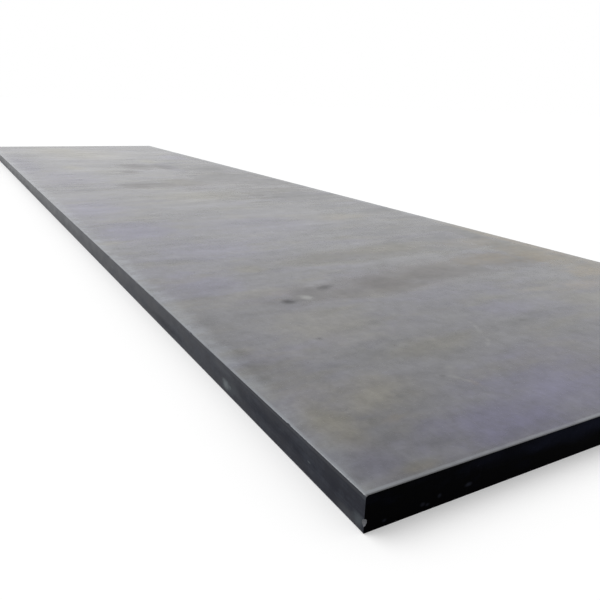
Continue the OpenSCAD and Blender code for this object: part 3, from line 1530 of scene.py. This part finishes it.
    def _stations(self) -> list[float]:
        """X of each ring, close together at the cut ends and wider towards the far end.

        Returns:
            The stations, from the nicked end to the other.
        """
        half, arris = self.shape.length / 2, self.shape.end_top_radius
        angles = np.linspace(0.0, math.pi / 2, self.end_arc_steps + 1)
        near_end = [arris * (1 - math.cos(a)) for a in angles] + [arris + self.guard]
        stations = [-half + d for d in near_end]
        cell = self.cell_near
        while stations[-1] + self.last_gap * cell < half - near_end[-1]:
            stations.append(stations[-1] + cell)
            share = (stations[-1] + half) / self.shape.length
            widened = min(1.0, max(0.0, self.widen_rate * share - self.widen_start))
            cell = self.cell_near + (self.cell_far - self.cell_near) * widened
        return stations + [half - d for d in reversed(near_end)]

    def _close_end(self, shell: bmesh.types.BMesh, ring: list[bmesh.types.BMVert], x: float) -> None:
        """Close one cut end with a fine grid, joined to the strip's last ring.

        Args:
            shell: The plate's mesh.
            ring: The strip's last ring at this end.
            x: X of the end.
        """
        half = self.shape.width / 2 - self.cut_inset - self.guard
        low = self.shape.end_bottom_radius + self.cut_inset
        high = self.shape.thickness - self.shape.end_top_radius - self.cut_inset
        columns = np.linspace(half, -half, round(2 * half / self.cut_column) + 1)
        rows = np.linspace(high, low, self.cut_rows + 1)
        grid = [[shell.verts.new((x, y, z)) for y in columns] for z in rows]
        for upper, lower in zip(grid, grid[1:]):
            for index in range(len(columns) - 1):
                shell.faces.new((upper[index], upper[index + 1], lower[index + 1], lower[index]))
        left = [row[0] for row in grid]
        right = [row[-1] for row in grid]
        self._zip(shell, ring, grid[0] + right[1:] + grid[-1][-2::-1] + left[-2:0:-1])

    @staticmethod
    def _zip(
        shell: bmesh.types.BMesh, outer: list[bmesh.types.BMVert], inner: list[bmesh.types.BMVert]
    ) -> None:
        """Join two closed loops that run the same way with triangles, always by the shorter new edge.

        Args:
            shell: The mesh that both loops belong to.
            outer: The outer loop.
            inner: The inner loop.
        """
        start = outer[0].co
        shift = min(range(len(inner)), key=lambda i: (inner[i].co - start).length)
        inner = inner[shift:] + inner[:shift]
        a = b = 0
        while a < len(outer) or b < len(inner):
            here, there = outer[a % len(outer)], inner[b % len(inner)]
            next_outer, next_inner = outer[(a + 1) % len(outer)], inner[(b + 1) % len(inner)]
            step_outer = (next_outer.co - there.co).length
            step_inner = (next_inner.co - here.co).length
            if b >= len(inner) or (a < len(outer) and step_outer <= step_inner):
                shell.faces.new((here, next_outer, there))
                a += 1
            else:
                shell.faces.new((here, next_inner, there))
                b += 1

    def bite(self, plate: bpy.types.Object, broken: bpy.types.Material) -> None:
        """Cut the nick out of the corner and give its faces their own finish.

        Args:
            plate: The plate's object.
            broken: The finish of the torn steel.
        """
        ball = bmesh.new()
        radius = self.shape.nick_radius
        bmesh.ops.create_icosphere(ball, subdivisions=self.ball_detail, radius=radius)
        for vert in ball.verts:
            waves = zip(vert.co, self.dent_waves, self.dent_shift)
            dent = math.prod(math.sin(place * wave + shift) for place, wave, shift in waves)
            vert.co *= 1.0 + self.dent_depth * dent
            vert.co += Vector(self.shape.nick_centre)
        mesh = bpy.data.meshes.new("nick_cutter")
        ball.to_mesh(mesh)
        ball.free()
        mesh.materials.append(broken)
        cutter = put(mesh.name, mesh)
        cut = plate.modifiers.new("nick", "BOOLEAN")
        cut.operation, cut.solver, cut.object = "DIFFERENCE", "EXACT", cutter
        cut.material_mode = "TRANSFER"
        settle(plate, cut)
        bpy.data.objects.remove(cutter)
        bpy.data.meshes.remove(mesh)

    def smooth(self, plate: bpy.types.Object) -> None:
        """Shade the mesh smooth, with its sharp edges kept."""
        plate.data.shade_smooth()
        plate.data.set_sharp_from_angle(angle=math.radians(self.sharp_angle))


@dataclass(frozen=True)
class Chart:
    """One patch of the plate's flat map: a stretch of one face, and its place on the map.

    Attributes:
        axes: The axes that run along and across the patch.
        low, high: The stretch's ends along those axes.
        corner, size: The patch's lower corner and size on the map, as shares of it.
    """

    axes: tuple[int, int]
    low: Point2
    high: Point2
    corner: Point2
    size: Point2

    def lay(self, places: np.ndarray) -> np.ndarray:
        """Where points of the plate lie on the map."""
        share = (places[:, self.axes] - self.low) / np.subtract(self.high, self.low)
        return share * self.size + self.corner


@dataclass(frozen=True)
class FlatMap:
    """The plate's flat map, for pictures of its finishes. The top has most of the room, in two halves.

    Attributes:
        gap: Space between the patches, as a share of the map.
        top_row, under_row, edge_row: Height of a half of the top, of the underside, and of an edge.
        under_patch, side_patch, end_patch: Number of the first patch of each kind. The top's is 0.
    """

    shape: PlateShape
    gap: float = 0.006
    top_row: float = 0.36
    under_row: float = 0.14
    edge_row: float = 0.016
    under_patch: int = 2
    side_patch: int = 3
    end_patch: int = 7
    title = "OFBake"

    def charts(self) -> list[Chart]:
        """The patches: two for the top, one for the underside, two for each long side, one for each end.

        Returns:
            The patches, in the order of their numbers.
        """
        x, y, z = self.shape.length / 2, self.shape.width / 2, self.shape.thickness
        halves, wide = ((-x, 0.0), (0.0, x)), 1.0 - 2 * self.gap
        rows = [((0, 1), half, (-y, y), self.top_row) for half in halves]
        rows += [((0, 1), (-x, x), (-y, y), self.under_row)]
        rows += [((0, 2), half, (0.0, z), self.edge_row) for half in halves * 2]
        charts, level = [], self.gap
        for axes, run, rise, height in rows:
            low, high = zip(run, rise)
            charts.append(Chart(axes, low, high, (self.gap, level), (wide, height)))
            level += height + self.gap
        part = wide / 2 - self.gap
        for corner in (self.gap, 0.5 + self.gap):
            charts.append(Chart((1, 2), (-y, 0.0), (y, z), (corner, level), (part, self.edge_row)))
        return charts

    @staticmethod
    def _read(items: Sequence[bpy.types.bpy_struct], name: str, width: int, kind: type) -> np.ndarray:
        """Read one property of a mesh's items.

        Args:
            items: The mesh's polygons, corners or points.
            name: The property's name.
            width: How many numbers it has.
            kind: The numbers' type.

        Returns:
            A row of numbers for each item.
        """
        values = np.empty((len(items), width), kind)
        items.foreach_get(name, values.ravel())
        return values

    def add(self, plate: bpy.types.Object) -> None:
        """Lay each face of the plate on the patch that it faces.

        Args:
            plate: The plate's object.
        """
        mesh = plate.data
        normals, centres = (self._read(mesh.polygons, name, 3, np.float32) for name in ("normal", "center"))
        totals = self._read(mesh.polygons, "loop_total", 1, np.int32)[:, 0]
        points = self._read(mesh.vertices, "co", 3, np.float32)
        corners = self._read(mesh.loops, "vertex_index", 1, np.int32)[:, 0]

        axis = np.abs(normals).argmax(1)
        turned = np.take_along_axis(normals, axis[:, None], 1)[:, 0] < 0.0
        far = centres[:, 0] >= 0.0
        faces = [(axis == 2) & ~turned, axis == 2, axis == 1]
        patches = [far.astype(int), self.under_patch, self.side_patch + far + 2 * turned]
        patch = np.repeat(np.select(faces, patches, self.end_patch + turned), totals)
        flat = np.empty((len(corners), 2))
        for index, chart in enumerate(self.charts()):
            chosen = patch == index
            flat[chosen] = chart.lay(points[corners[chosen]])
        mesh.uv_layers.new(name=self.title).uv.foreach_set("vector", flat.astype(np.float32).ravel())


@dataclass
class SteelPlate:
    """The whole object: the rolled plate and the loose scale on it."""

    shape: PlateShape

    def build(self) -> list[bpy.types.Object]:
        """Make each piece, dress it and set it on its body.

        Returns:
            The pieces.
        """
        mill, side, cut = (kind(self.shape).material() for kind in (MillScale, RolledSide, TorchCut))
        body = PlateBody(self.shape)
        plate = body.build()
        RollingRelief(self.shape, mill, side, cut).run(plate)
        body.bite(plate, BrokenSteel().material())
        body.smooth(plate)
        FlatMap(self.shape).add(plate)
        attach(plate, ROOT_BODY)
        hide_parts(PLATE_NODE)

        loose = LooseScale()
        flakes = put(loose.title, bpy.data.meshes.new(loose.title))
        FlakeScatter(plate, loose.material(), loose.tone_name).run(flakes)
        flakes.data.shade_smooth()
        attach(flakes, ROOT_BODY)
        return [plate, flakes]


@dataclass(frozen=True)
class PhotoCamera:
    """The camera, at the photograph's viewpoint.

    Attributes:
        stand_back, stand_left, stand_above: Place of the camera from the nicked corner's top, along
            -X, +Y and +Z.
        swing: Turn of the view from the plate's length towards -Y, in degrees.
        tilt: How far the view looks down, in degrees.
        roll: Turn of the picture about the view, in degrees.
        focus_pixels, picture_pixels: Focal length and width of the picture, in pixels.
        sensor: Width of the sensor, in millimetres.
        nearest, farthest: Limits of what the camera sees.
    """

    stand_back: float = 0.5523
    stand_left: float = 0.4327
    stand_above: float = 0.4940
    swing: float = 30.25
    tilt: float = 17.88
    roll: float = -1.91
    focus_pixels: float = 615.4
    picture_pixels: float = 600.0
    sensor: float = 36.0
    nearest: float = 0.01
    farthest: float = 200.0

    def build(self, shape: PlateShape) -> bpy.types.Object:
        """Make the camera and make it the scene's own.

        Args:
            shape: The plate's sizes.

        Returns:
            The camera's object.
        """
        data = bpy.data.cameras.new("photo_camera")
        data.sensor_width = self.sensor
        data.lens = self.sensor * self.focus_pixels / self.picture_pixels
        data.clip_start, data.clip_end = self.nearest, self.farthest
        camera = put(data.name, data)
        swing, tilt, roll = (math.radians(a) for a in (self.swing, self.tilt, self.roll))
        reach = math.cos(tilt)
        forward = Vector((math.cos(swing) * reach, -math.sin(swing) * reach, -math.sin(tilt)))
        level = Vector((-math.sin(swing), -math.cos(swing), 0.0))
        down = forward.cross(level)
        right = math.cos(roll) * level + math.sin(roll) * down
        up = math.sin(roll) * level - math.cos(roll) * down
        turn = Matrix((right, up, -forward)).transposed()
        corner = Vector((-shape.length / 2, shape.width / 2, shape.thickness))
        place = corner + Vector((-self.stand_back, self.stand_left, self.stand_above))
        camera.matrix_world = Matrix.Translation(place) @ turn.to_4x4()
        bpy.context.scene.camera = camera
        return camera


@dataclass
class Studio:
    """White floor and surroundings with soft light from the far left.

    Attributes:
        floor_reach: Half the floor's size.
        ambient: Strength of the surroundings as light.
        key_strength, key_spread: Strength of the soft lamp, and its angular size in degrees.
        key_from: Direction towards the lamp.
        floor_white: Colour of the floor.
        floor_lift: Glow that brings the lit floor up to white in the picture.
    """

    floor_reach: float = 60.0
    ambient: float = 0.60
    key_strength: float = 1.5
    key_spread: float = 50.0
    key_from: Point3 = (0.45, 0.40, 0.80)
    floor_white: float = 0.80
    floor_lift: float = 0.24

    def build(self) -> None:
        """Make the floor, the surroundings and the lamp."""
        self._floor()
        self._surroundings()
        self._lamp()
        bpy.context.scene.view_settings.view_transform = "Standard"

    @staticmethod
    def _seen(board: NodeBoard) -> Wire:
        """Tell rays that show the background itself, straight or in a reflection, from the rest.

        Args:
            board: A material's or the world's node board.

        Returns:
            1 for those rays, else 0.
        """
        path = board.place("ShaderNodeLightPath")
        names = ("Is Camera Ray", "Is Glossy Ray", "Is Transmission Ray")
        return together(Wire(board, path.outputs[name]) for name in names)

    def _floor(self) -> None:
        """Make the floor, which keeps the plate's shadow."""
        low, high = -self.floor_reach, self.floor_reach
        mesh = bpy.data.meshes.new("floor")
        corners = [(low, low, 0.0), (high, low, 0.0), (high, high, 0.0), (low, high, 0.0)]
        mesh.from_pydata(corners, [], [(0, 1, 2, 3)])
        floor = put("floor", mesh)
        material = bpy.data.materials.new("floor_white")
        material.use_nodes = True
        board = NodeBoard(material.node_tree)
        white = (self.floor_white, self.floor_white, self.floor_white, 1.0)
        paint = board.add("ShaderNodeBsdfDiffuse", inputs={"Color": white})
        glow = board.add("ShaderNodeEmission", inputs={"Strength": self._seen(board) * self.floor_lift})
        both = board.add("ShaderNodeAddShader", inputs={0: paint, 1: glow})
        board.place("ShaderNodeOutputMaterial", inputs={"Surface": both})
        mesh.materials.append(material)

    def _surroundings(self) -> None:
        """Make the surroundings: white where they show, and an even light."""
        world = bpy.data.worlds.new("surroundings")
        world.use_nodes = True
        board = NodeBoard(world.node_tree)
        strength = self.ambient + self._seen(board) * (1.0 - self.ambient)
        inputs = {"Color": (1.0, 1.0, 1.0, 1.0), "Strength": strength}
        light = board.add("ShaderNodeBackground", inputs=inputs)
        board.place("ShaderNodeOutputWorld", inputs={"Surface": light})
        bpy.context.scene.world = world

    def _lamp(self) -> None:
        """Make the soft lamp."""
        data = bpy.data.lights.new("key", "SUN")
        data.energy = self.key_strength
        data.angle = math.radians(self.key_spread)
        lamp = put("key", data)
        lamp.rotation_mode = "QUATERNION"
        lamp.rotation_quaternion = Vector(self.key_from).to_track_quat("Z", "Y")


def main() -> None:
    """Build the plate, its studio and its camera."""
    logging.basicConfig(level=logging.INFO, format="%(name)s: %(message)s")
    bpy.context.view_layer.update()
    low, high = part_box(PLATE_NODE)
    shape = PlateShape(*(high - low))
    for piece in SteelPlate(shape).build():
        triangles = sum(len(face.vertices) - 2 for face in piece.data.polygons)
        LOG.info("%s: %d triangles, rides on %s", piece.name, triangles, ROOT_BODY)
    Studio().build()
    PhotoCamera().build(shape)


if __name__ == "__main__":
    main()
